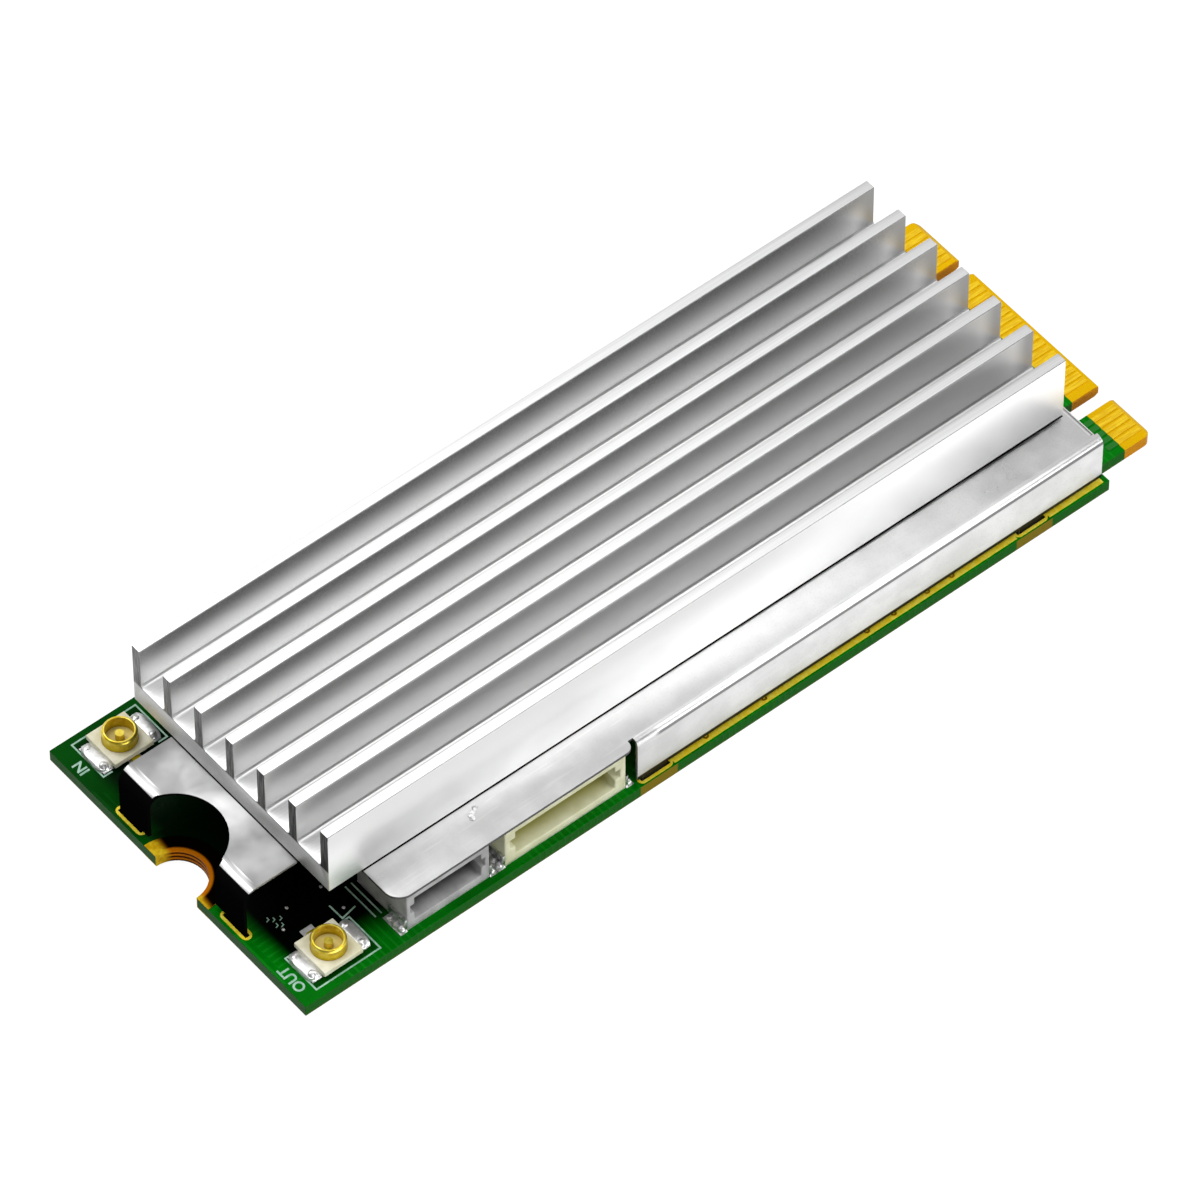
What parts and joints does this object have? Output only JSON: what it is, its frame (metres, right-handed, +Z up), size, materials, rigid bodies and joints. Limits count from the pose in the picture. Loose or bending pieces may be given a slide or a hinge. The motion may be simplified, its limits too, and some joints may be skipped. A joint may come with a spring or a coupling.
{
  "type": "video capture card",
  "caption": "Edge-connector capture card with a finned heatsink on a folded metal shield, two coaxial board jacks, two side-entry headers and a half-round screw notch.",
  "frame": {"origin": "under the middle of the card, on the surface that the card lies on", "axes": "+X from the screw end to the gold edge contacts, +Y to the left seen from the screw end, +Z up from the board to the heatsink"},
  "size_m": [0.06, 0.022, 0.0091],
  "materials": {
    "board_laminate": "green solder mask on glass laminate",
    "gold_plating": "gold-plated copper",
    "tinned_sheet": "bright tinned sheet",
    "heatsink_metal": "plain extruded, satin",
    "thermal_tape": "heat-conducting adhesive tape",
    "chip_moulding": "black epoxy moulding",
    "crystal_can": "nickel-plated lid",
    "thermal_pad": "soft filled silicone",
    "inductor_ferrite": "moulded ferrite",
    "capacitor_ceramic": "fired ceramic",
    "resistor_ceramic": "glazed film on ceramic",
    "jack_moulding": "cream heat-proof moulding",
    "solder_tin": "reflowed solder on copper",
    "header_moulding_grey": "pale moulding",
    "header_moulding_cream": "cream moulding",
    "terminal_tin": "tinned bronze"
  },
  "bodies": {
    "root": {"circuit_board": "board_laminate", "shield_slot_plating": "gold_plating", "ground_strips": "gold_plating", "edge_contacts_top": "gold_plating", "edge_contacts_bottom": "gold_plating", "screw_pad": "gold_plating", "shield": "tinned_sheet", "heatsink": "heatsink_metal", "heatsink_tape": "thermal_tape", "capture_chip": "chip_moulding", "memory_chip": "chip_moulding", "receiver_chip": "chip_moulding", "driver_chip": "chip_moulding", "flash_chip": "chip_moulding", "regulator_chips": "chip_moulding", "clock_crystal": "crystal_can", "capture_chip_heat_pad": "thermal_pad", "memory_chip_heat_pad": "thermal_pad", "power_inductors": "inductor_ferrite", "ceramic_capacitors": "capacitor_ceramic", "chip_resistors": "resistor_ceramic", "in_jack_shell": "gold_plating", "in_jack_insulator": "jack_moulding", "in_jack_pin": "gold_plating", "out_jack_shell": "gold_plating", "out_jack_insulator": "jack_moulding", "out_jack_pin": "gold_plating", "jack_lands": "solder_tin", "small_header_housing": "header_moulding_grey", "small_header_terminals": "terminal_tin", "small_header_hold_downs": "terminal_tin", "large_header_housing": "header_moulding_cream", "large_header_terminals": "terminal_tin", "large_header_hold_downs": "terminal_tin", "header_lands": "solder_tin"}
  },
  "joints": []
}
